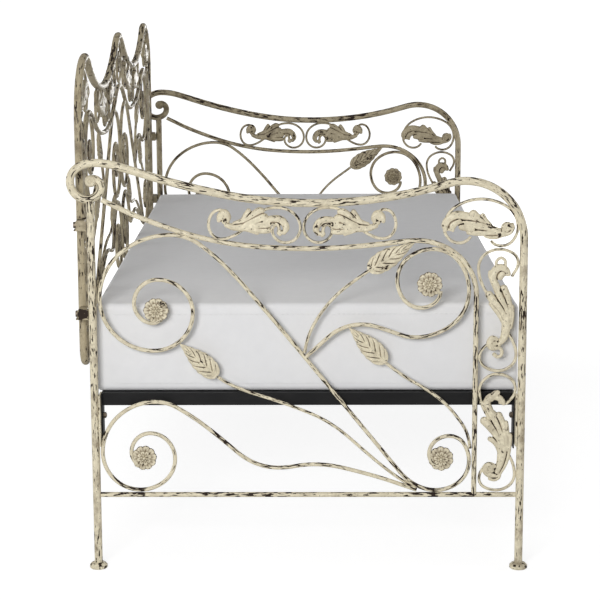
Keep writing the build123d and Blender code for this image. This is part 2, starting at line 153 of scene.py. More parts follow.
# ---- leaves (tip, base) and rosettes ----
END_LEAVES = [((-298, 548), (-210, 468)), ((249, 785), (141, 719)), ((97, 585), (184, 500))]
END_ROSETTES = [(-352, 626), (314, 269), (-386, 271), (284, 686)]
BACK_LEAVES = [((563, 1000), (480, 915)), ((176, 795), (262, 712)), ((546, 866), (633, 783))]
BACK_ROSETTES = [(121, 862), (757, 648), (95, 636), (733, 969)]
CENTRE_ROSETTE = (0, 1139)
KNOB_AT = (-497, 930)
KNOB_PROFILE = [(0.0, 11.5), (2.5, 11.0), (4.0, 9.6), (5.0, 11.2), (8.0, 13.0), (11.0, 11.6), (13.2, 7.6),
                (14.0, 0.0)]    # radius, height


# ---- settings ----
def colour(name, about, value):
    return FloatVectorProperty(name=name, description=about, default=value, size=3, subtype="COLOR", min=0, max=1)


class PaintSettings(bpy.types.PropertyGroup):
    cream: colour("Cream", "Top coat of the iron", (0.77, 0.70, 0.52))
    # bare iron in chips and specks, also the painted shade deep in the hollows
    bare_and_shade: colour("Bare iron and shade", "What shows where the top coat is chipped", (0.020, 0.010, 0.005))
    # brown glaze in stains and round chips, and the colour of the painted shade in hollows
    grime_and_shade: colour("Grime And Shade", "Brown glaze, and the painted shade in hollows", (0.15, 0.098, 0.048))
    # cream of the back and far panels: the same cream darkened as painted shade
    shaded_cream: colour("Shaded cream", "Cream of the back and far panels, darkened as painted shade", (0.44, 0.378, 0.252))
    chips: FloatProperty(name="Chips", description="How much of the top coat is chipped", default=0.5, min=0, max=1,
                         subtype="FACTOR")
    black: colour("Base black", "Satin paint of the angle base", (0.005, 0.005, 0.0055))


class CastingSettings(bpy.types.PropertyGroup):
    grain: FloatProperty(name="Cell", description="Cell size when the lobes are joined", default=0.0012, unit="LENGTH")
    leaf_half: FloatProperty(name="Leaf half width", description="Half of the widest part of a leaf",
                             default=0.0250, unit="LENGTH")
    veins: IntProperty(name="Veins", description="Side veins on each half of a leaf", default=6, min=2)
    petals: IntProperty(name="Petals", description="Petals in the outer ring of a rosette", default=10, min=5)
    rosette: FloatProperty(name="Rosette radius", description="From the middle to the petal tips",
                           default=0.0300, unit="LENGTH")


class MattressSettings(bpy.types.PropertyGroup):
    cloth: colour("Cover", "Colour of the cover", (0.79, 0.79, 0.80))
    crown: FloatProperty(name="Crown", description="Rise of the middle of the top", default=0.006, unit="LENGTH")
    rim: FloatProperty(name="Rim", description="Radius of the edges and corners", default=0.014, unit="LENGTH")
    stitch: FloatProperty(name="Stitch pitch", description="Distance between stitches", default=0.012, unit="LENGTH")


class StageSettings(bpy.types.PropertyGroup):
    floor: colour("Floor", "Colour of the floor", (0.42, 0.42, 0.42))
    glow: FloatProperty(name="Floor glow", description="Light that the pale floor gives off", default=0.77, min=0)
    bounce: FloatProperty(name="Bounce", description="Part of the glow that lights the daybed", default=0.22, min=0)
    sky: FloatProperty(name="Room light", description="Strength of the soft light all round", default=0.20, min=0)
    key: FloatProperty(name="Key light", description="Power of the large side light", default=138.0, unit="POWER")
    fill: FloatProperty(name="Fill", description="Power of each of the other three lights, as a part of the key",
                        default=0.42, min=0)


# ---- shader groups ----
# A Mix node has one pair of inputs for each kind of data; these are the places of the colours.
COLOUR_A, COLOUR_B, COLOUR_RESULT = 6, 7, 2


def shader_group(name, inputs, outputs):
    tree = bpy.data.node_groups.new(name, "ShaderNodeTree")
    for label, kind, value in inputs:
        socket = tree.interface.new_socket(label, in_out="INPUT", socket_type=kind)
        socket.default_value = value
    for label, kind in outputs:
        tree.interface.new_socket(label, in_out="OUTPUT", socket_type=kind)
    return tree, tree.nodes.new("NodeGroupInput"), tree.nodes.new("NodeGroupOutput")


class Wiring:
    """Short calls for making and joining the nodes of one tree."""

    def __init__(self, tree):
        self.tree = tree

    def put(self, socket, value):
        if isinstance(value, bpy.types.NodeSocket):
            self.tree.links.new(value, socket)
        else:
            socket.default_value = value

    def maths(self, operation, a, b=0.0, clamp=False):
        node = self.tree.nodes.new("ShaderNodeMath")
        node.operation = operation
        node.use_clamp = clamp
        self.put(node.inputs[0], a)
        self.put(node.inputs[1], b)
        return node.outputs[0]

    def vector(self, operation, a, b=None, scale=None):
        node = self.tree.nodes.new("ShaderNodeVectorMath")
        node.operation = operation
        self.put(node.inputs[0], a)
        if b is not None:
            self.put(node.inputs[1], b)
        if scale is not None:
            self.put(node.inputs["Scale"], scale)
        return node.outputs[0]

    def noise(self, vector, scale, detail=2.0, rough=0.5):
        node = self.tree.nodes.new("ShaderNodeTexNoise")
        self.put(node.inputs["Vector"], vector)
        self.put(node.inputs["Scale"], scale)
        node.inputs["Detail"].default_value = detail
        node.inputs["Roughness"].default_value = rough
        return node.outputs["Fac"]

    def span(self, value, low, high, out_low=0.0, out_high=1.0, smooth=False):
        node = self.tree.nodes.new("ShaderNodeMapRange")
        if smooth:
            node.interpolation_type = "SMOOTHSTEP"
        self.put(node.inputs["Value"], value)
        self.put(node.inputs["From Min"], low)
        self.put(node.inputs["From Max"], high)
        self.put(node.inputs["To Min"], out_low)
        self.put(node.inputs["To Max"], out_high)
        return node.outputs[0]

    def mix(self, factor, a, b, blend="MIX"):
        node = self.tree.nodes.new("ShaderNodeMix")
        node.data_type = "RGBA"
        node.blend_type = blend
        self.put(node.inputs["Factor"], factor)
        self.put(node.inputs[COLOUR_A], a)
        self.put(node.inputs[COLOUR_B], b)
        return node.outputs[COLOUR_RESULT]


def worn_paint_group():
    """Chipped, mottled and glazed paint, darkened in hollows as grime and painted shade. Chips run long along a rod,
    because they turn with its normal.
    """
    tree, gin, gout = shader_group(
        "Worn Paint",
        [("Paint", "NodeSocketColor", (0.7, 0.6, 0.5, 1)), ("Bare And Shade", "NodeSocketColor", (0.04, 0.03, 0.02, 1)),
         ("Grime And Shade", "NodeSocketColor", (0.2, 0.15, 0.1, 1)), ("Chips", "NodeSocketFloat", 0.5),
         ("Along", "NodeSocketFloat", 60.0), ("Around", "NodeSocketFloat", 1.6),
         ("Glaze", "NodeSocketFloat", 0.4), ("Hollow", "NodeSocketFloat", 0.0)],
        [("Color", "NodeSocketColor"), ("Roughness", "NodeSocketFloat"), ("Height", "NodeSocketFloat")])
    w = Wiring(tree)
    place = tree.nodes.new("ShaderNodeTexCoord")
    where = place.outputs["Object"]
    along = w.vector("SCALE", where, scale=gin.outputs["Along"])
    around = w.vector("SCALE", place.outputs["Normal"], scale=gin.outputs["Around"])
    long_way = w.vector("ADD", along, around)
    upward = tree.nodes.new("ShaderNodeSeparateXYZ")
    w.put(upward.inputs[0], place.outputs["Normal"])
    rubbed = w.maths("MULTIPLY", upward.outputs["Z"], 0.050)
    flakes = w.maths("ADD", w.noise(long_way, 1.0, 2.4, 0.52), rubbed)
    patches = w.noise(where, 9.0, 2.0, 0.5)
    bare_at = w.span(patches, 0.34, 0.66, 0.72, 0.56)
    cut = w.maths("SUBTRACT", bare_at, w.maths("MULTIPLY", w.maths("SUBTRACT", gin.outputs["Chips"], 0.5), 0.12))
    chipped = w.span(flakes, cut, w.maths("ADD", cut, 0.004))
    halo = w.span(flakes, w.maths("SUBTRACT", cut, 0.06), w.maths("ADD", cut, 0.01), smooth=True)
    specks = w.noise(where, 210.0, 2.0, 0.6)
    specked = w.span(specks, 0.665, 0.69)
    mottle = w.noise(long_way, 1.7, 4.0, 0.65)
    stain = w.noise(where, 28.0, 4.0, 0.6)
    light = w.mix(0.5, gin.outputs["Paint"], w.mix(1.0, gin.outputs["Paint"], (1.35, 1.36, 1.42, 1), "MULTIPLY"))
    deep = w.mix(0.17, gin.outputs["Paint"], gin.outputs["Grime And Shade"])
    base = w.mix(w.span(mottle, 0.36, 0.64), deep, gin.outputs["Paint"])
    base = w.mix(w.span(mottle, 0.54, 0.70), base, light)
    base = w.mix(w.maths("MULTIPLY", w.span(stain, 0.50, 0.68), gin.outputs["Glaze"]), base, gin.outputs["Grime And Shade"])
    base = w.mix(w.maths("MULTIPLY", halo, 0.40), base, gin.outputs["Grime And Shade"])
    base = w.mix(w.maths("MULTIPLY", specked, 0.75), base, gin.outputs["Bare And Shade"])
    # Hollow darkens the paint towards the grime colour: partly grime, partly painted shade in the hollows
    hollow = w.span(gin.outputs["Hollow"], 0.12, 0.62, smooth=True)
    base = w.mix(w.maths("MULTIPLY", hollow, 0.85), base, gin.outputs["Grime And Shade"])
    # the deepest hollows take the bare iron colour as painted shade, and join the chips in one mask
    deep_hollow_shade = w.span(w.maths("MULTIPLY", gin.outputs["Hollow"], w.span(stain, 0.42, 0.58, 0.6, 1.4)), 0.62, 0.82)
    chip_and_shade_mask = w.maths("MAXIMUM", chipped, deep_hollow_shade)
    w.put(gout.inputs["Color"], w.mix(chip_and_shade_mask, base, gin.outputs["Bare And Shade"]))
    w.put(gout.inputs["Roughness"], w.span(w.maths("ADD", chip_and_shade_mask, w.maths("MULTIPLY", stain, 0.3)), 0.0, 1.2, 0.42, 0.72))
    fine = w.noise(where, 190.0, 3.0, 0.6)
    relief = w.maths("ADD", w.maths("MULTIPLY", w.maths("SUBTRACT", 1.0, chip_and_shade_mask), 0.5), w.maths("MULTIPLY", fine, 0.5))
    w.put(gout.inputs["Height"], w.maths("ADD", relief, w.maths("MULTIPLY", flakes, 0.4)))
    return tree


def grain_group():
    """Fine powder-coat grain with faint dust, for the plain steel parts."""
    tree, gin, gout = shader_group(
        "Fine Grain",
        [("Coat", "NodeSocketColor", (0.02, 0.02, 0.02, 1)), ("Dust", "NodeSocketColor", (0.1, 0.1, 0.1, 1)),
         ("Size", "NodeSocketFloat", 600.0), ("Amount", "NodeSocketFloat", 0.3)],
        [("Color", "NodeSocketColor"), ("Roughness", "NodeSocketFloat"), ("Height", "NodeSocketFloat")])
    w = Wiring(tree)
    where = tree.nodes.new("ShaderNodeTexCoord").outputs["Object"]
    grain = w.noise(where, gin.outputs["Size"], 2.0, 0.5)
    cloud = w.noise(where, 14.0, 4.0, 0.6)
    dusty = w.maths("MULTIPLY", w.span(cloud, 0.45, 0.75), gin.outputs["Amount"])
    w.put(gout.inputs["Color"], w.mix(dusty, gin.outputs["Coat"], gin.outputs["Dust"]))
    w.put(gout.inputs["Roughness"], w.span(cloud, 0.3, 0.7, 0.34, 0.52))
    w.put(gout.inputs["Height"], grain)
    return tree


def group_node(material, tree, values):
    node = material.node_tree.nodes.new("ShaderNodeGroup")
    node.node_tree = tree
    for label, value in values.items():
        node.inputs[label].default_value = value
    return node


def plain_material(name):
    material = bpy.data.materials.new(name)
    material.use_nodes = True
    return material, material.node_tree.nodes["Principled BSDF"]


def bumped(material, shader, height, distance, strength=1.0):
    bump = material.node_tree.nodes.new("ShaderNodeBump")
    bump.inputs["Distance"].default_value = distance
    bump.inputs["Strength"].default_value = strength
    material.node_tree.links.new(height, bump.inputs["Height"])
    material.node_tree.links.new(bump.outputs["Normal"], shader.inputs["Normal"])


def rgba(values, scale=1.0):
    return (values[0] * scale, values[1] * scale, values[2] * scale, 1.0)


def worn_material(name, chips, along, around, glaze, shaded_cream=False, cast=False):
    paint = bpy.context.scene.daybed_paint
    material, shader = plain_material(name)
    # the back and far panels take the darker cream and a darker grime colour as painted shade
    values = {"Paint": rgba(paint.shaded_cream if shaded_cream else paint.cream), "Bare And Shade": rgba(paint.bare_and_shade),
              "Grime And Shade": rgba(paint.grime_and_shade, 0.6 if shaded_cream else 1.0),
              "Chips": chips, "Along": along, "Around": around, "Glaze": glaze}
    node = group_node(material, bpy.data.node_groups["Worn Paint"], values)
    links = material.node_tree.links
    if cast:
        # castings read how sunken each point is; their paint darkens there as grime and painted shade
        hollow = material.node_tree.nodes.new("ShaderNodeAttribute")
        hollow.attribute_name = "hollow"
        links.new(hollow.outputs["Fac"], node.inputs["Hollow"])
    links.new(node.outputs["Color"], shader.inputs["Base Color"])
    links.new(node.outputs["Roughness"], shader.inputs["Roughness"])
    shader.inputs["Specular IOR Level"].default_value = 0.3
    bumped(material, shader, node.outputs["Height"], 0.0009, 0.9)
    return material


def steel_material(name, coat, dust, amount, metal=0.0, size=600.0):
    material, shader = plain_material(name)
    node = group_node(material, bpy.data.node_groups["Fine Grain"],
                      {"Coat": coat, "Dust": dust, "Size": size, "Amount": amount})
    links = material.node_tree.links
    links.new(node.outputs["Color"], shader.inputs["Base Color"])
    links.new(node.outputs["Roughness"], shader.inputs["Roughness"])
    shader.inputs["Metallic"].default_value = metal
    bumped(material, shader, node.outputs["Height"], 0.0002, 0.5)
    return material


def cover_material():
    """Closely woven mattress cover: two crossing threads, and faint slubs."""
    cloth = bpy.context.scene.daybed_mattress.cloth
    material, shader = plain_material("Mattress Cover")
    w = Wiring(material.node_tree)
    where = material.node_tree.nodes.new("ShaderNodeTexCoord").outputs["Object"]
    split = material.node_tree.nodes.new("ShaderNodeSeparateXYZ")
    w.put(split.inputs[0], where)
    across = w.maths("SINE", w.maths("MULTIPLY", split.outputs["X"], 2 * math.pi / 0.0016))
    over = w.maths("SINE", w.maths("MULTIPLY", w.maths("ADD", split.outputs["Y"], split.outputs["Z"]),
                                   2 * math.pi / 0.0016))
    weave = w.maths("MULTIPLY", across, over)
    slub = w.noise(where, 34.0, 4.0, 0.6)
    soft = w.noise(where, 5.0, 3.0, 0.5)
    tone = w.mix(w.span(slub, 0.35, 0.7), rgba(cloth, 0.97), rgba(cloth, 1.0))
    w.put(shader.inputs["Base Color"], w.mix(w.span(soft, 0.4, 0.7, 0.0, 0.35), tone, rgba(cloth, 0.95)))
    w.put(shader.inputs["Roughness"], w.span(weave, -1.0, 1.0, 0.88, 0.96))
    shader.inputs["Sheen Weight"].default_value = 0.15
    shader.inputs["Sheen Roughness"].default_value = 0.5
    shader.inputs["Specular IOR Level"].default_value = 0.2
    bumped(material, shader, w.maths("ADD", w.maths("MULTIPLY", weave, 0.3), slub), 0.0004, 0.6)
    return material


# ---- mesh helpers ----
def new_piece(name, mesh, material=None, smooth=True):
    if material is not None:
        mesh.materials.clear()
        mesh.materials.append(material)
    if smooth:
        mesh.shade_smooth()
    piece = bpy.data.objects.new(name, mesh)
    bpy.context.scene.collection.objects.link(piece)
    return piece


def mesh_from(name, verts, faces):
    mesh = bpy.data.meshes.new(name)
    mesh.from_pydata([tuple(v) for v in verts], [], faces)
    mesh.validate()
    return mesh


def tube_faces(rings, segments):
    """Faces between rings of points that follow one another."""
    faces = []
    for i in range(rings - 1):
        for k in range(segments):
            n = (k + 1) % segments
            faces.append((i * segments + k, i * segments + n, (i + 1) * segments + n, (i + 1) * segments + k))
    return faces


def two_sheets(rows, columns):
    """Faces of two grids of points, one after the other, each rows + 1 by 2 * columns + 1."""
    faces = []
    row = 2 * columns + 1
    for sheet in (0, 1):
        start = sheet * (rows + 1) * row
        for i in range(rows):
            for j in range(2 * columns):
                a = start + i * row + j
                faces.append((a, a + 1, a + row + 1, a + row))
    return faces


def outward(mesh, merge=0.0):
    """Closes doubled seams and turns every face of a closed mesh outwards."""
    bm = bmesh.new()
    bm.from_mesh(mesh)
    if merge:
        bmesh.ops.remove_doubles(bm, verts=bm.verts, dist=merge)
    bmesh.ops.recalc_face_normals(bm, faces=bm.faces)
    bm.to_mesh(mesh)
    bm.free()
    return mesh


def baked(piece):
    """The evaluated result of a piece as a plain mesh, with its modifiers removed."""
    graph = bpy.context.evaluated_depsgraph_get()
    mesh = bpy.data.meshes.new_from_object(piece.evaluated_get(graph), depsgraph=graph)
    bpy.data.objects.remove(piece)
    return mesh


def joined(name, placed):
    """One mesh from (mesh, matrix) pairs; a mirrored copy has its faces turned back."""
    bm = bmesh.new()
    layer = bm.verts.layers.float.new("hollow")
    for mesh, matrix in placed:
        copy = mesh.copy()
        copy.transform(matrix)
        if matrix.determinant() < 0:
            copy.flip_normals()
        start = len(bm.verts)
        bm.from_mesh(copy)
        bm.verts.ensure_lookup_table()
        if "hollow" in copy.attributes:
            values = np.zeros(len(copy.vertices), np.float32)
            copy.attributes["hollow"].data.foreach_get("value", values)
            for i, value in enumerate(values):
                bm.verts[start + i][layer] = float(value)
        bpy.data.meshes.remove(copy)
    mesh = bpy.data.meshes.new(name)
    bm.to_mesh(mesh)
    bm.free()
    return mesh


def mark_hollows(mesh, reach=3, gain=1.0):
    """Stores how sunken each point is, from 0 to 1, so that the paint darkens there as glaze and painted shade."""
    count = len(mesh.vertices)
    place = np.zeros(count * 3)
    normal = np.zeros(count * 3)
    mesh.vertices.foreach_get("co", place)
    mesh.vertices.foreach_get("normal", normal)
    place, normal = place.reshape(-1, 3), normal.reshape(-1, 3)
    edges = np.zeros(len(mesh.edges) * 2, int)
    mesh.edges.foreach_get("vertices", edges)
    a, b = edges.reshape(-1, 2).T
    degree = np.maximum(np.bincount(a, minlength=count) + np.bincount(b, minlength=count), 1)[:, None]

    def spread(values):
        total = np.zeros_like(values)
        np.add.at(total, a, values[b])
        np.add.at(total, b, values[a])
        return total / degree

    smooth = place.copy()
    for _ in range(reach):
        smooth = spread(smooth)
    sunk = ((smooth - place) * normal).sum(1)[:, None]
    for _ in range(2):
        sunk = spread(sunk)
    scale = np.percentile(np.abs(sunk), 92) + 1e-9
    values = np.clip(sunk[:, 0] / scale * gain, 0, 1).astype(np.float32)
    layer = mesh.attributes.get("hollow") or mesh.attributes.new("hollow", "FLOAT", "POINT")
    layer.data.foreach_set("value", values)
    return mesh


def curve_through(points, steps=6):
    """Smooth run through (u, v, half width) points."""
    pts = [Vector(p) for p in points]
    out = []
    for i in range(len(pts) - 1):
        p0 = pts[i - 1] if i else pts[0] * 2 - pts[1]
        p3 = pts[i + 2] if i + 2 < len(pts) else pts[-1] * 2 - pts[-2]
        for k in range(steps):
            t = k / steps
            a = 2 * pts[i] + (pts[i + 1] - p0) * t
            b = (2 * p0 - 5 * pts[i] + 4 * pts[i + 1] - p3) * t * t
            out.append((a + b + (3 * pts[i] - p0 - 3 * pts[i + 1] + p3) * t ** 3) / 2)
    return out + [pts[-1]]


def lobe_rings(points):
    """Centre, direction and half width of each section of a lobe, with rounded ends."""
    run = curve_through(points)
    rings = []
    for i, p in enumerate(run):
        ahead = run[min(i + 1, len(run) - 1)] - run[max(i - 1, 0)]
        rings.append((Vector((p.x, p.y)), Vector((ahead.x, ahead.y)).normalized(), max(p.z, 1.0)))
    ends = []
    for sign, (centre, way, half) in ((-1, rings[0]), (1, rings[-1])):
        cap = []
        for k in range(1, 5):
            angle = k / 4 * math.pi / 2 * 0.98
            cap.append((centre + way * (sign * half * math.sin(angle) * 0.9), way, half * math.cos(angle)))
        ends.append(cap)
    return ends[0][::-1] + rings + ends[1]


def lobe_mesh(points, segments=20):
    """A fluted lobe: a tapered swelling with a shallow gutter along its crest, front and back."""
    verts, faces = [], []
    rings = lobe_rings(points)
    for centre, way, half in rings:
        side = Vector((-way.y, way.x))
        depth = min(0.72 * half + 1.8, 8.2)
        for k in range(segments):
            angle = 2 * math.pi * k / segments
            across, rise = math.cos(angle), math.sin(angle)
            gutter = 1.0 - 0.10 * math.exp(-((across / 0.2) ** 2)) * min(half / 7.0, 1.0)
            spot = centre + side * (across * half)
            verts.append((spot.x, spot.y, rise * depth * gutter * (1.0 if half > 2 else half / 2)))
    faces += tube_faces(len(rings), segments)
    faces.append(tuple(range(segments)))
    faces.append(tuple(reversed(range(len(verts) - segments, len(verts)))))
    return verts, faces


def cast_mesh(name, lobes, grain):
    """Lobes run together into one casting, in panel millimetres."""
    verts, faces = [], []
    for points in lobes:
        more, rings = lobe_mesh(points)
        faces += [tuple(i + len(verts) for i in face) for face in rings]
        verts += more
    lobe_piece = new_piece(name + "_lobes", outward(mesh_from(name, verts, faces)))
    remesh = lobe_piece.modifiers.new("one_casting", "REMESH")
    remesh.mode = "VOXEL"
    remesh.voxel_size = grain / MM
    mesh = baked(lobe_piece)
    bm = bmesh.new()
    bm.from_mesh(mesh)
    for _ in range(2):
        bmesh.ops.smooth_vert(bm, verts=bm.verts, factor=0.5, use_axis_x=True, use_axis_y=True, use_axis_z=True)
    bm.to_mesh(mesh)
    bm.free()
    return mark_hollows(mesh, reach=4, gain=1.25)


# ---- leaves ----
def leaf_outline(t):
    """Half width of a leaf, 1 at its widest, from base (0) to tip (1)."""
    body = math.sin(math.pi * min(t, 1.0) ** 0.62) ** 0.80
    return body * (1.0 - 0.30 * max(0.0, t - 0.55) / 0.45) if t < 1 else 0.0


def leaf_mesh(name, length, half, veins, rows=72, columns=22):
    """A cast leaf: raised midrib, side veins cut in a herringbone, lobed edge. Base at 0, tip at +x."""
    verts, gashes = [], []
    for face in (1, -1):
        for i in range(rows + 1):
            t = i / rows
            wide = half * leaf_outline(t)
            for j in range(-columns, columns + 1):
                s = j / columns
                phase = (t * 1.12 - abs(s) * 0.30 + 0.02) * veins
                puff = abs(math.sin(math.pi * phase))
                notch = 1.0 - 0.07 * (1.0 - puff) * abs(s) ** 3 * (0.2 < t < 0.92)
                rim = (1 - abs(s) ** 2.6)
                ridge = math.exp(-((abs(s) * wide / 2.4) ** 2)) * (1 - t) ** 0.4
                live = min(1.0, 6 * t) * min(1.0, 5 * (1 - t))
                veined = (puff ** 0.6) * min(1.0, abs(s) * 5) * rim ** 0.4 * live
                beside_rib = (1 - ridge) * live * (abs(s) < 0.25)
                height = 1.3 + 2.6 * rim * live + 2.0 * veined - 1.4 * beside_rib + 1.8 * ridge
                if abs(j) == columns or i in (0, rows):
                    height = 0.0
                cup = 2.5 * s * s * math.sin(math.pi * t) - 3.0 * t * t
                along = length * t + 1.5 * puff * abs(s) * (0.2 < t < 0.9)
                verts.append((along, wide * s * notch, face * height + cup))
                # the cuts between the veins are marked as hollows, where the paint darkens as grime and painted shade
                gashes.append(max(0.0, 1 - puff / 0.55) * min(1.0, 7 * abs(s)) * (1 - abs(s) ** 4) * live)
    mesh = mesh_from(name, verts, two_sheets(rows, columns))
    mesh.attributes.new("hollow", "FLOAT", "POINT").data.foreach_set("value", gashes)
    return outward(mesh, merge=0.01)


def leaf_matrix(tip, base):
    """Panel place of a leaf drawn from its base at the origin to its tip along x."""
    way = Vector((tip[0] - base[0], tip[1] - base[1])).normalized()
    return Matrix(((way.x, -way.y, 0, base[0]), (way.y, way.x, 0, base[1]), (0, 0, 1, 0), (0, 0, 0, 1)))


# ---- geometry node trees ----
def mesh_tree(name, inputs):
    """A geometry tree with a mesh in, a mesh out and the other inputs given as (label, kind)."""
    tree = bpy.data.node_groups.new(name, "GeometryNodeTree")
    for label, kind in [("Geometry", "Geometry")] + inputs:
        tree.interface.new_socket(label, in_out="INPUT", socket_type="NodeSocket" + kind)
    tree.interface.new_socket("Geometry", in_out="OUTPUT", socket_type="NodeSocketGeometry")
    return tree, tree.nodes.new("NodeGroupInput"), tree.nodes.new("NodeGroupOutput")


def finish_tree(tree, gin, gout, copies):
    """Makes the copies real and gives them the material."""
    real = tree.nodes.new("GeometryNodeRealizeInstances")
    tree.links.new(copies.outputs[0], real.inputs[0])
    paint = tree.nodes.new("GeometryNodeSetMaterial")
    tree.links.new(real.outputs[0], paint.inputs["Geometry"])
    tree.links.new(gin.outputs["Material"], paint.inputs["Material"])
    tree.links.new(paint.outputs[0], gout.inputs[0])


def ring_tree():
    """Sets copies of a petal evenly round a ring."""
    tree, gin, gout = mesh_tree("Petal Ring", [("Count", "Int"), ("Turn", "Float"), ("Material", "Material")])
    nodes, links = tree.nodes, tree.links
    line = nodes.new("GeometryNodePoints")
    links.new(gin.outputs["Count"], line.inputs["Count"])
    index = nodes.new("GeometryNodeInputIndex")
    step = nodes.new("ShaderNodeMath")
    step.operation = "DIVIDE"
    links.new(index.outputs[0], step.inputs[0])
    links.new(gin.outputs["Count"], step.inputs[1])
    angle = nodes.new("ShaderNodeMath")
    angle.operation = "MULTIPLY_ADD"
    links.new(step.outputs[0], angle.inputs[0])
    angle.inputs[1].default_value = 2 * math.pi
    links.new(gin.outputs["Turn"], angle.inputs[2])
    turn = nodes.new("ShaderNodeCombineXYZ")
    links.new(angle.outputs[0], turn.inputs["Z"])
    euler = nodes.new("FunctionNodeEulerToRotation")
    links.new(turn.outputs[0], euler.inputs[0])
    copies = nodes.new("GeometryNodeInstanceOnPoints")
    links.new(line.outputs[0], copies.inputs["Points"])
    links.new(gin.outputs["Geometry"], copies.inputs["Instance"])
    links.new(euler.outputs[0], copies.inputs["Rotation"])
    finish_tree(tree, gin, gout, copies)
    return tree


def stitch_tree():
    """Lays short stitches along a seam curve, each in line with it."""
    tree, gin, gout = mesh_tree("Seam Stitches", [("Pitch", "Float"), ("Length", "Float"), ("Thread", "Float"),
                                                  ("Material", "Material")])
    nodes, links = tree.nodes, tree.links
    to_curve = nodes.new("GeometryNodeMeshToCurve")
    links.new(gin.outputs["Geometry"], to_curve.inputs[0])
    points = nodes.new("GeometryNodeCurveToPoints")
    points.mode = "LENGTH"
    links.new(to_curve.outputs[0], points.inputs["Curve"])
    links.new(gin.outputs["Pitch"], points.inputs["Length"])
    thread = nodes.new("GeometryNodeMeshIcoSphere")
    thread.inputs["Radius"].default_value = 1.0
    thread.inputs["Subdivisions"].default_value = 2
    scale = nodes.new("ShaderNodeCombineXYZ")
    for label, source in (("X", "Thread"), ("Y", "Thread"), ("Z", "Length")):
        links.new(gin.outputs[source], scale.inputs[label])
    copies = nodes.new("GeometryNodeInstanceOnPoints")
    links.new(points.outputs["Points"], copies.inputs["Points"])
    links.new(thread.outputs[0], copies.inputs["Instance"])
    links.new(points.outputs["Rotation"], copies.inputs["Rotation"])
    links.new(scale.outputs[0], copies.inputs["Scale"])
    finish_tree(tree, gin, gout, copies)
    return tree


def run_tree(piece, tree, values):
    """Runs a geometry tree on a piece with named values and returns the plain mesh."""
    modifier = piece.modifiers.new(tree.name, "NODES")
    modifier.node_group = tree
    ids = {i.name: i.identifier for i in tree.interface.items_tree if i.item_type == "SOCKET" and i.in_out == "INPUT"}
    for label, value in values.items():
        modifier[ids[label]] = value
    return baked(piece)


# ---- rosettes ----
def petal_mesh(name, inner, outer, half, depth, cup, rows=14, columns=7):
    """One petal from inner to outer radius along +x: notched tip, sunk middle line, both faces."""
    verts = []
    for face in (1, -1):
        for i in range(rows + 1):
            t = i / rows
            wide = half * (0.38 + 0.62 * math.sin(math.pi * min(1.0, t * 0.62 + 0.06)) ** 1.2)
            wide *= math.sqrt(max(0.0, 1 - max(0.0, (t - 0.72) / 0.28) ** 2))
            for j in range(-columns, columns + 1):
                s = j / columns
                reach = inner + (outer - inner) * t - 1.2 * (t ** 6) * (1 - abs(s)) ** 2
                rise = depth * (1 - s * s) ** 0.5 * (0.55 + 0.45 * math.sin(math.pi * t))
                rise *= 1 - 0.42 * math.exp(-((s / 0.22) ** 2)) * math.sin(math.pi * min(1, t * 1.1))
                if i in (0, rows) or abs(j) == columns:
                    rise = 0.0
                verts.append((reach, wide * s, face * (rise + cup * t * t) if rise else face * cup * t * t * 0.5))
    faces = two_sheets(rows, columns)
    row = 2 * columns + 1
    edge = [i * row for i in range(rows + 1)]
    other = (rows + 1) * row
    rim = edge + [rows * row + j for j in range(1, row)] + [i * row + row - 1 for i in range(rows - 1, -1, -1)]
    rim += [j for j in range(row - 2, 0, -1)]
    for k in range(len(rim)):
        a, b = rim[k], rim[(k + 1) % len(rim)]
        faces.append((a, b, b + other, a + other))
    return outward(mesh_from(name, verts, faces), merge=0.005)


def button_mesh(name, profile, segments=28):
    """A turned boss from (radius, height) points, the same on both faces."""
    ring = [(r, h) for r, h in profile] + [(r, -h) for r, h in reversed(profile)]
    verts = []
    for r, h in ring:
        for k in range(segments):
            a = 2 * math.pi * k / segments
            verts.append((r * math.cos(a), r * math.sin(a), h))
    return outward(mesh_from(name, verts, tube_faces(len(ring), segments)), merge=0.01)


def rosette_mesh(settings, material):
    """Two rings of petals round a beaded boss, in millimetres, facing both ways."""
    radius = settings.rosette / MM
    tree = bpy.data.node_groups["Petal Ring"]
    count = settings.petals
    parts = []
    for name, inner, outer, half, depth, cup, number, turn in (
            ("outer", 5.0, radius, 9.4, 3.4, 1.2, count, 0.0),
            ("inner", 3.0, radius * 0.60, 6.2, 5.0, 1.4, count - 2, 0.3),
            ("heart", 1.0, radius * 0.31, 3.3, 6.6, 0.8, 6, 0.1)):
        petal = new_piece("petal_" + name, petal_mesh(name, inner, outer, half, depth, cup))
        parts.append(run_tree(petal, tree, {"Count": number, "Turn": turn, "Material": material}))
    disc = [(0.0, 2.2), (radius * 0.5, 2.2), (radius * 0.72, 1.6), (radius * 0.78, 0.0)]
    parts.append(button_mesh("web", disc))
    parts.append(button_mesh("boss", [(0.0, 9.4), (1.6, 9.0), (2.8, 7.8), (3.2, 6.0), (3.2, 3.0)], 20))
    mesh = joined("rosette", [(part, Matrix.Identity(4)) for part in parts])
    # points low between the petals and on the web count as sunken, so the paint darkens there as painted shade
    layer = mesh.attributes.get("hollow") or mesh.attributes.new("hollow", "FLOAT", "POINT")
    values = np.zeros(len(mesh.vertices), np.float32)
    for i, vertex in enumerate(mesh.vertices):
        r = math.hypot(vertex.co.x, vertex.co.y) / radius
        sunk = 1.0 - min(1.0, abs(vertex.co.z) / (8.5 - 5.0 * r))
        values[i] = max(0.0, min(1.0, sunk * 1.35 - 0.15))
    layer.data.foreach_set("value", values)
    return mesh


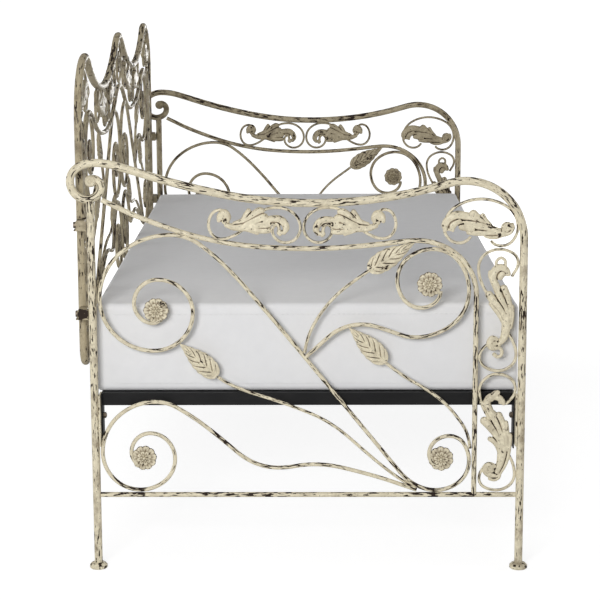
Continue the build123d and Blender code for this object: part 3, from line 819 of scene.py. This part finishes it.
# ---- operators ----
class DAYBED_OT_finishes(bpy.types.Operator):
    """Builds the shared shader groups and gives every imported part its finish"""

    bl_idname = "daybed.finishes"
    bl_label = "Finishes"

    def execute(self, context):
        worn_paint_group()
        grain_group()
        paint = context.scene.daybed_paint
        tube = worn_material("Cream Tube", paint.chips + 0.34, 46.0, 2.0, 0.25)
        post = worn_material("Cream Post", paint.chips + 0.34, 46.0, 2.0, 0.62)
        near = worn_material("Cream Rod", paint.chips + 0.38, 46.0, 1.2, 0.25)
        thin = worn_material("Cream Wire", paint.chips + 0.42, 50.0, 1.0, 0.35)
        # the far and back panels and their castings get the darker cream as painted shade
        far = worn_material("Shaded Cream Far Panel", paint.chips + 0.36, 34.0, 1.3, 0.8, shaded_cream=True)
        back = worn_material("Shaded Cream Back Panel", paint.chips + 0.34, 36.0, 1.5, 0.6, shaded_cream=True)
        worn_material("Cream Casting", paint.chips - 0.2, 60.0, 0.9, 0.25, cast=True)
        worn_material("Shaded Cream Back Casting", paint.chips - 0.1, 60.0, 0.9, 0.6, shaded_cream=True, cast=True)
        black = steel_material("Satin Black Steel", rgba(paint.black), (0.018, 0.017, 0.016, 1), 0.35)
        black.node_tree.nodes["Principled BSDF"].inputs["Specular IOR Level"].default_value = 0.25
        bolt = steel_material("Dull Fastener", (0.16, 0.13, 0.10, 1), (0.30, 0.24, 0.16, 1), 0.5, 0.7, 900.0)
        for name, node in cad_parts.items():
            if name.startswith("base_"):
                material = bolt if name in ("base_bolts", "base_nuts") else black
            elif name.startswith("back_"):
                material = bolt if name == "back_bolts" else back
            elif name.startswith("right_"):
                material = far
            elif name.endswith(("_scroll_wires", "_leaf_stems")):
                material = thin
            elif name.endswith(("_post", "_feet")):
                material = post
            elif name.endswith("_top_rail"):
                material = tube
            else:
                material = near
            for spot in node.material_slots:
                spot.material = material
        return {"FINISHED"}


class DAYBED_OT_knobs(bpy.types.Operator):
    """Turned knobs that close the rolled ends of the top rails"""

    bl_idname = "daybed.knobs"
    bl_label = "Rail Knobs"

    def execute(self, context):
        for side in SIDES:
            mesh = button_mesh(f"{side}_rail_knob", KNOB_PROFILE)
            mesh.transform(end_matrix(side) @ Matrix.Translation((*KNOB_AT, 0)))
            piece = new_piece(f"{side}_rail_knob", outward(mesh), cast_material(side))
            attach(piece, "frame")
        return {"FINISHED"}


def cast_material(panel):
    # castings of the far and back panels take the darker cream as painted shade
    return bpy.data.materials["Cream Casting" if panel == "left" else "Shaded Cream Back Casting"]


def cast_piece(name, placed, panel, node):
    """Sets castings out as one piece in the place of a plain node."""
    piece = new_piece(name, joined(name, placed), cast_material(panel))
    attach(piece, "frame")
    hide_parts(node)


class DAYBED_OT_castings(bpy.types.Operator):
    """Fluted acanthus castings over the small scrolls of all three panels"""

    bl_idname = "daybed.castings"
    bl_label = "Acanthus Castings"

    def execute(self, context):
        grain = context.scene.daybed_casting.grain
        shapes = {name: cast_mesh(name, lobes, grain) for name, lobes in (
            ("spray", S_CASTING), ("corner", CORNER_CASTING), ("tall", TALL_CASTING), ("low", LOW_CASTING))}
        flip = Matrix(((-1, 0, 0, 2 * S_AXIS - 5.0), (0, 1, 0, -3.0), (0, 0, 1, 0), (0, 0, 0, 1)))
        for side in SIDES:
            place = end_matrix(side)
            spots = [(shapes["spray"], place), (shapes["spray"], place @ flip), (shapes["corner"], place),
                     (shapes["tall"], place), (shapes["low"], place)]
            cast_piece(f"{side}_acanthus", spots, side, f"{side}_scroll_castings")
        for half, mirror in (("right", False), ("left", True)):
            place = back_matrix(mirror)
            spots = [(shapes["spray"], place @ m) for m in back_spray_moves()]
            shift = Matrix.Translation((*BACK_SHIFT, 0))
            lowered = Matrix.Translation((0, -2, 0)) @ shift
            spots += [(shapes["corner"], place @ shift), (shapes["tall"], place @ lowered)]
            cast_piece(f"back_acanthus_{half}", spots, "back", "back_scroll_castings")
        return {"FINISHED"}


def back_spray_moves():
    """The spray casting is set twice in each half of the back, enlarged and turned."""
    centre = Matrix.Translation((-S_FOOT[0], -S_FOOT[1], 0))
    grow = Matrix.Diagonal((BACK_S_SCALE, BACK_S_SCALE, 1.0, 1.0))
    there = Matrix.Translation((*BACK_S_AT, 0))
    first = there @ Matrix.Rotation(math.radians(-13.0), 4, "Z") @ grow @ centre
    mirror = Matrix.Diagonal((-1.0, 1.0, 1.0, 1.0))
    second = there @ mirror @ Matrix.Rotation(math.radians(-5.0), 4, "Z") @ grow @ centre
    return first, second


class DAYBED_OT_leaves(bpy.types.Operator):
    """Veined leaves at the ends of the leaf stems"""

    bl_idname = "daybed.leaves"
    bl_label = "Leaves"

    def execute(self, context):
        settings = context.scene.daybed_casting
        length = (Vector(END_LEAVES[0][0]) - Vector(END_LEAVES[0][1])).length
        leaf = leaf_mesh("leaf", length, settings.leaf_half / MM, settings.veins)
        for side in SIDES:
            place = end_matrix(side)
            self.spray(f"{side}_veined_leaves", leaf, length, END_LEAVES, [place], side, f"{side}_leaves")
        self.spray("back_veined_leaves", leaf, length, BACK_LEAVES, [back_matrix(), back_matrix(True)], "back",
                   "back_leaves")
        return {"FINISHED"}

    def spray(self, name, leaf, length, spots, places, panel, node):
        placed = []
        for place in places:
            for tip, base in spots:
                stretch = (Vector(tip) - Vector(base)).length / length
                placed.append((leaf, place @ leaf_matrix(tip, base) @ Matrix.Diagonal((stretch, 1, 1, 1))))
        cast_piece(name, placed, panel, node)


class DAYBED_OT_rosettes(bpy.types.Operator):
    """Petalled rosettes in the eyes of the large scrolls"""

    bl_idname = "daybed.rosettes"
    bl_label = "Rosettes"

    def execute(self, context):
        ring_tree()
        rosette = rosette_mesh(context.scene.daybed_casting, cast_material("left"))
        for side in SIDES:
            self.set_out(f"{side}_petal_rosettes", rosette, [end_matrix(side)], END_ROSETTES, [], side,
                         f"{side}_rosettes")
        self.set_out("back_petal_rosettes", rosette, [back_matrix(), back_matrix(True)], BACK_ROSETTES,
                     [CENTRE_ROSETTE], "back", "back_rosettes")
        return {"FINISHED"}

    def set_out(self, name, rosette, places, spots, once, panel, node):
        placed = []
        for number, place in enumerate(places):
            for i, (u, v) in enumerate(spots + (once if number == 0 else [])):
                turn = Matrix.Rotation(0.37 * i, 4, "Z")
                placed.append((rosette, place @ Matrix.Translation((u, v, 0)) @ turn))
        cast_piece(name, placed, panel, node)


# ---- mattress ----
END_GAP = 0.002          # the cover is this much shorter than the CAD block at each end
SWELL_CAP = 0.005
SWELL_FRAMES = 14
SEAM_INSET = 0.0038
SEAM_CORNER = 0.055
SEAM_BELOW_TOP, SEAM_ABOVE_BASE = 0.024, 0.020
THREAD = 0.0007
STITCH_FILL = 0.36       # part of the pitch that a stitch covers


def rounded_loop(half_x, half_y, radius, step):
    """Points round a rectangle with rounded corners, evenly spaced."""
    points = []
    for cx, cy, start in ((1, 1, 0), (-1, 1, 90), (-1, -1, 180), (1, -1, 270)):
        for k in range(7):
            a = math.radians(start + 90 * k / 6)
            points.append(Vector((cx * (half_x - radius) + radius * math.cos(a),
                                  cy * (half_y - radius) + radius * math.sin(a), 0)))
    out = []
    for i, p in enumerate(points):
        q = points[(i + 1) % len(points)]
        count = max(1, round((q - p).length / step))
        out += [p.lerp(q, k / count) for k in range(count)]
    return out


def mattress_shell(low, high, edge, step=0.026):
    """A closed block of quads whose edges and corners are rounded to one radius."""
    centre = (low + high) / 2
    half = (high - low) / 2
    flat = half - Vector((edge, edge, edge))

    def lines(reach):
        """Grid lines from -reach to reach, close together where the rim bends."""
        count = round(2 * (reach - edge) / step)
        inner = [-reach + edge + 2 * (reach - edge) * i / count for i in range(count + 1)]
        bend = [edge * k / 4 for k in range(4)]
        return [-reach + b for b in bend] + inner + [reach - b for b in reversed(bend)]

    grid = [lines(half.x), lines(half.y), lines(half.z)]
    last = [len(g) - 1 for g in grid]
    verts, faces, index = [], [], {}

    def spot(*key):
        if key not in index:
            p = Vector([grid[axis][key[axis]] for axis in range(3)])
            inner = Vector([max(-flat[axis], min(flat[axis], p[axis])) for axis in range(3)])
            out = p - inner
            if out.length > 0:
                p = inner + out.normalized() * max(abs(c) for c in out)
            index[key] = len(verts)
            verts.append(p + centre)
        return index[key]

    for a, b, c in ((0, 1, 2), (1, 2, 0), (2, 0, 1)):
        for end in (0, last[c]):
            for i in range(last[a]):
                for j in range(last[b]):
                    face = []
                    for di, dj in ((0, 0), (1, 0), (1, 1), (0, 1)):
                        key = [0, 0, 0]
                        key[a], key[b], key[c] = i + di, j + dj, end
                        face.append(spot(*key))
                    faces.append(tuple(face))
    return outward(mesh_from("mattress_cover", verts, faces))


def swell(mesh, cap):
    """Lets the cover fill out under pressure, and holds each point to within cap of where it was."""
    piece = new_piece("mattress_rest", mesh)
    before = [v.co.copy() for v in mesh.vertices]
    cloth = piece.modifiers.new("fill", "CLOTH")
    cloth.settings.use_pressure = True
    cloth.settings.uniform_pressure_force = 4.0
    cloth.settings.quality = 4
    cloth.settings.tension_stiffness = 20
    cloth.settings.bending_stiffness = 4
    cloth.settings.effector_weights.gravity = 0.0
    cloth.collision_settings.use_collision = False
    scene = bpy.context.scene
    for number in range(1, SWELL_FRAMES + 1):
        scene.frame_set(number)
    result = baked(piece)
    scene.frame_set(1)
    for vertex, old in zip(result.vertices, before):
        move = vertex.co - old
        if move.length > cap:
            vertex.co = old + move.normalized() * cap
    return result


class DAYBED_OT_mattress(bpy.types.Operator):
    """Crowned mattress with a sewn border"""

    bl_idname = "daybed.mattress"
    bl_label = "Mattress"

    def execute(self, context):
        settings = context.scene.daybed_mattress
        cover = cover_material()
        low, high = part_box("mattress")
        inset = Vector((END_GAP, 0.0, 0.0))
        mesh = mattress_shell(low + inset, high - inset, settings.rim)
        mesh = swell(mesh, SWELL_CAP)
        middle_z = (low.z + high.z) / 2
        centre = (low + high) / 2
        half = (high - low) / 2
        for vertex in mesh.vertices:
            p = vertex.co
            x = (p.x - centre.x) / half.x
            y = (p.y - centre.y) / half.y
            if p.z > middle_z:
                p.z += settings.crown * ((1 - x ** 8) * (1 - y ** 8) if abs(x) < 1 and abs(y) < 1 else 0)
            p.z = max(p.z, low.z)
        piece = new_piece("mattress_padded", mesh, cover)
        smooth = piece.modifiers.new("smooth_cover", "SUBSURF")
        smooth.levels = 1
        smooth.render_levels = 1
        mesh = baked(piece)
        piece = new_piece("mattress_padded", mesh, cover)
        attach(piece, "mattress_body")
        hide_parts("mattress")
        self.sew(low, high, settings, cover)
        return {"FINISHED"}

    def sew(self, low, high, settings, cover):
        """Two rows of stitches round the border, just inside each rim."""
        tree = stitch_tree()
        centre = (low + high) / 2
        half = (high - low) / 2
        parts = []
        for height in (high.z - SEAM_BELOW_TOP, low.z + SEAM_ABOVE_BASE):
            loop = rounded_loop(half.x - SEAM_INSET, half.y - SEAM_INSET, SEAM_CORNER, 0.02)
            verts = [(p.x + centre.x, p.y + centre.y, height) for p in loop]
            mesh = bpy.data.meshes.new("seam")
            mesh.from_pydata(verts, [(i, (i + 1) % len(verts)) for i in range(len(verts))], [])
            seam = new_piece("seam_line", mesh, smooth=False)
            parts.append(run_tree(seam, tree, {"Pitch": settings.stitch, "Material": cover, "Thread": THREAD,
                                               "Length": settings.stitch * STITCH_FILL}))
        mesh = joined("mattress_stitches", [(part, Matrix.Identity(4)) for part in parts])
        piece = new_piece("mattress_stitches", mesh, cover)
        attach(piece, "mattress_body")


# ---- stage ----
CAMERA_AT = Vector((-5.280, -0.0124 + POST_Y, 1.4790))
CAMERA_TURN = (1.3637, 10.7373, -0.3992)
CAMERA_LENS = 112.76
CAMERA_SHIFT = (0.0525, -0.0112)
FLOOR_REACH = 30.0
GLOW_RISE = (1.2, 3.6)   # the floor's glow rises to full between these distances from the middle


def camera_matrix():
    yaw, pitch, roll = (math.radians(a) for a in CAMERA_TURN)
    forward = Vector((math.cos(pitch) * math.cos(yaw), math.cos(pitch) * math.sin(yaw), -math.sin(pitch)))
    right = forward.cross(Vector((0, 0, 1))).normalized()
    up = right.cross(forward)
    side = math.cos(roll) * right + math.sin(roll) * up
    top = -math.sin(roll) * right + math.cos(roll) * up
    matrix = Matrix((side, top, -forward)).transposed().to_4x4()
    matrix.translation = CAMERA_AT
    return matrix


def lamp(name, at, aim, size, power):
    data = bpy.data.lights.new(name, "AREA")
    data.shape = "RECTANGLE"
    data.size, data.size_y = size
    data.energy = power
    light = bpy.data.objects.new(name, data)
    bpy.context.scene.collection.objects.link(light)
    light.location = at
    light.rotation_euler = (Vector(aim) - Vector(at)).to_track_quat("-Z", "Y").to_euler()


def soft_room(strength):
    """An even pale room, seen as plain white."""
    world = bpy.data.worlds.new("Soft Room")
    world.use_nodes = True
    tree = world.node_tree
    background = tree.nodes["Background"]
    background.inputs["Color"].default_value = (1, 1, 1, 1)
    seen = tree.nodes.new("ShaderNodeLightPath")
    level = tree.nodes.new("ShaderNodeMapRange")
    tree.links.new(seen.outputs["Is Camera Ray"], level.inputs["Value"])
    level.inputs["To Min"].default_value = strength
    level.inputs["To Max"].default_value = 1.05
    tree.links.new(level.outputs[0], background.inputs["Strength"])
    return world


class DAYBED_OT_stage(bpy.types.Operator):
    """Pale floor, soft light and the camera"""

    bl_idname = "daybed.stage"
    bl_label = "Stage"

    def execute(self, context):
        settings = context.scene.daybed_stage
        scene = context.scene
        material, shader = plain_material("Pale Floor")
        shader.inputs["Base Color"].default_value = rgba(settings.floor)
        shader.inputs["Roughness"].default_value = 0.9
        shader.inputs["Specular IOR Level"].default_value = 0.0
        shader.inputs["Emission Color"].default_value = (1, 1, 1, 1)
        w = Wiring(material.node_tree)
        where = material.node_tree.nodes.new("ShaderNodeTexCoord").outputs["Object"]
        away = material.node_tree.nodes.new("ShaderNodeVectorMath")
        away.operation = "LENGTH"
        w.put(away.inputs[0], where)
        glow = w.span(away.outputs["Value"], *GLOW_RISE, settings.glow, 1.0, smooth=True)
        seen = material.node_tree.nodes.new("ShaderNodeLightPath").outputs["Is Camera Ray"]
        w.put(shader.inputs["Emission Strength"], w.span(seen, 0.0, 1.0, settings.bounce, glow))
        corners = [(-1, -1), (1, -1), (1, 1), (-1, 1)]
        mesh = mesh_from("floor", [(x * FLOOR_REACH, y * FLOOR_REACH, 0) for x, y in corners], [(0, 1, 2, 3)])
        floor = new_piece("floor", mesh, material, smooth=False)
        scene.world = soft_room(settings.sky)
        lamp("key_light", (-5.2, 1.0, 1.9), (-0.6, 0, 0.6), (1.6, 1.2), settings.key)
        lamp("top_light", (-0.6, 0.3, 4.2), (0.2, 0, 0.5), (2.6, 1.8), settings.key * 0.20)
        fill = settings.key * settings.fill
        lamp("front_fill", (0.8, -4.6, 0.9), (0, 0, 0.6), (2.2, 1.2), fill)
        lamp("rear_fill", (0.8, 4.6, 0.9), (0, 0, 0.6), (2.2, 1.2), fill)
        lamp("end_fill", (5.0, -0.4, 0.9), (0.6, 0, 0.6), (2.0, 1.2), fill)
        scene.view_settings.view_transform = "Standard"
        camera = bpy.data.objects.new("camera", bpy.data.cameras.new("camera"))
        scene.collection.objects.link(camera)
        camera.matrix_world = camera_matrix()
        camera.data.lens = CAMERA_LENS
        camera.data.shift_x, camera.data.shift_y = CAMERA_SHIFT
        camera.data.clip_end = 200
        scene.camera = camera
        return {"FINISHED"}


class DAYBED_PT_panel(bpy.types.Panel):
    bl_idname = "DAYBED_PT_panel"
    bl_label = "Daybed"
    bl_space_type = "VIEW_3D"
    bl_region_type = "UI"
    bl_category = "Daybed"

    def draw(self, context):
        layout = self.layout
        for group, settings in (("Paint", "daybed_paint"), ("Castings", "daybed_casting"),
                                ("Mattress", "daybed_mattress"), ("Stage", "daybed_stage")):
            box = layout.box()
            box.label(text=group)
            owner = getattr(context.scene, settings)
            for name in owner.__annotations__:
                box.prop(owner, name)
        for operator in OPERATORS:
            layout.operator(operator.bl_idname)


GROUPS = {"daybed_paint": PaintSettings, "daybed_casting": CastingSettings, "daybed_mattress": MattressSettings,
          "daybed_stage": StageSettings}
OPERATORS = (DAYBED_OT_finishes, DAYBED_OT_knobs, DAYBED_OT_castings, DAYBED_OT_leaves, DAYBED_OT_rosettes,
             DAYBED_OT_mattress, DAYBED_OT_stage)


def register():
    for group in GROUPS.values():
        bpy.utils.register_class(group)
    for name, group in GROUPS.items():
        setattr(bpy.types.Scene, name, PointerProperty(type=group))
    for operator in OPERATORS:
        bpy.utils.register_class(operator)
    bpy.utils.register_class(DAYBED_PT_panel)


def unregister():
    bpy.utils.unregister_class(DAYBED_PT_panel)
    for operator in reversed(OPERATORS):
        bpy.utils.unregister_class(operator)
    for name, group in GROUPS.items():
        delattr(bpy.types.Scene, name)
        bpy.utils.unregister_class(group)


def main():
    register()
    bpy.ops.daybed.finishes()
    bpy.ops.daybed.knobs()
    bpy.ops.daybed.castings()
    bpy.ops.daybed.leaves()
    bpy.ops.daybed.rosettes()
    bpy.ops.daybed.mattress()
    bpy.ops.daybed.stage()


if __name__ == "__main__":
    main()
